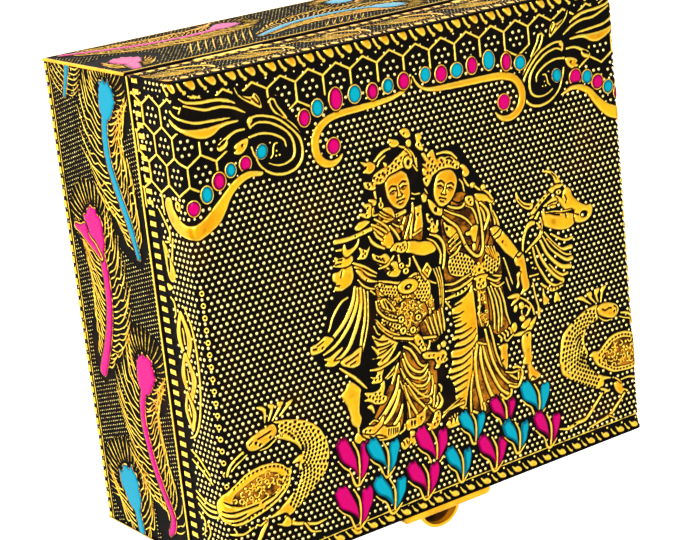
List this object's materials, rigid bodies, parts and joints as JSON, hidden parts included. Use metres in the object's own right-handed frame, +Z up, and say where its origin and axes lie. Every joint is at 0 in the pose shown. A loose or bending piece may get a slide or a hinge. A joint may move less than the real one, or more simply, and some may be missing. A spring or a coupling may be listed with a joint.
{
  "type": "jewelry box",
  "caption": "Wooden keepsake box with a back-hinged lid, clad in embossed gold and black metal sheet, velvet lined, with a lift-lever clasp at the front.",
  "frame": {"origin": "middle of the underside, on the surface that the box stands on, halfway across the width and halfway through the depth of the case without its clasp", "axes": "+Z up; +X to the right along the front, the longest side; +Y from the clasp towards the hinges"},
  "size_m": [0.165, 0.1625, 0.0765],
  "materials": {
    "wood": "planed, unfinished, slightly darkened edges",
    "embossed_sheet": "embossed, raised parts polished gold, recesses blackened, pink and blue enamel",
    "felt": "short pressed felt",
    "velvet": "short pile velvet",
    "brass": "polished, lacquered",
    "screws": "plated",
    "steel_pin": "drawn"
  },
  "bodies": {
    "base": {"base_floor_panel": "wood", "base_front_wall": "wood", "base_back_wall": "wood", "base_left_wall": "wood", "base_right_wall": "wood", "underside_felt": "felt", "base_sheet_front": "embossed_sheet", "base_sheet_back": "embossed_sheet", "base_sheet_left": "embossed_sheet", "base_sheet_right": "embossed_sheet", "base_floor_pad": "velvet", "base_lining_front": "velvet", "base_lining_back": "velvet", "base_lining_left": "velvet", "base_lining_right": "velvet", "hinge_left_base_leaf": "brass", "hinge_left_pin": "steel_pin", "hinge_right_base_leaf": "brass", "hinge_right_pin": "steel_pin", "hinge_base_screws": "screws", "clasp_catch": "brass", "clasp_catch_screws": "screws"},
    "lid": {"lid_top_panel": "wood", "lid_front_rail": "wood", "lid_back_rail": "wood", "lid_left_rail": "wood", "lid_right_rail": "wood", "lid_sheet_top": "embossed_sheet", "lid_sheet_front": "embossed_sheet", "lid_sheet_back": "embossed_sheet", "lid_roof_pad": "velvet", "lid_lining_front": "velvet", "lid_lining_back": "velvet", "lid_lining_left": "velvet", "lid_lining_right": "velvet", "hinge_left_lid_leaf": "brass", "hinge_right_lid_leaf": "brass", "hinge_lid_screws": "screws", "clasp_housing": "brass", "clasp_pin": "steel_pin", "clasp_housing_screws": "screws"},
    "clasp_lever": {"clasp_lever": "brass"}
  },
  "joints": [
    {"name": "lid_hinge", "type": "hinge", "parent": "base", "child": "lid", "pos_m": [0, 0.0744, 0.0521], "axis": [-1, 0, 0], "range_deg": [0, 100]},
    {"name": "clasp_lift", "type": "hinge", "parent": "lid", "child": "clasp_lever", "pos_m": [0, -0.07815, 0.0696], "axis": [-1, 0, 0], "range_deg": [0, 24]}
  ]
}
